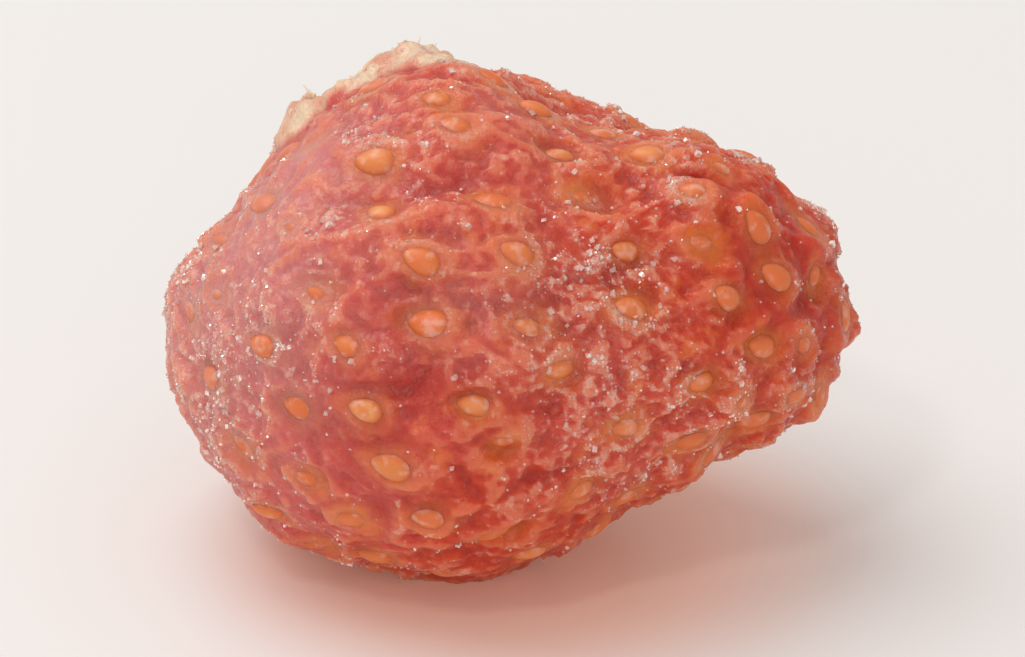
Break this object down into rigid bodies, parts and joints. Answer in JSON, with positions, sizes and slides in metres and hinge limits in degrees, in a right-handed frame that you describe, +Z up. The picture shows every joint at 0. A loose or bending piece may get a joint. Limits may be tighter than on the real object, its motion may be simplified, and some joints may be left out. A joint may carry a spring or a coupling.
{
  "type": "dried strawberry",
  "caption": "Whole dried, sugared strawberry lying on its side, plump at the torn hull end, tapered to a blunt tip, with seeds in small pits.",
  "frame": {"origin": "the surface that the fruit rests on, under the middle of its bounding box", "axes": "+X along the fruit from the hull end to the tip, +Y away from the side that the picture shows, +Z up"},
  "size_m": [0.0256, 0.0218, 0.0185],
  "materials": {
    "candied_flesh": "translucent red to orange-red candied flesh, wrinkled, with a thin uneven bloom of sugar",
    "seed_coat": "smooth golden seed coats, a little glossy",
    "hull_tissue": "pale cream, torn, fibrous tissue",
    "sugar_grains": "fine clear to white sugar crystals"
  },
  "bodies": {
    "root": {"dried_strawberry": "candied_flesh"}
  },
  "joints": []
}
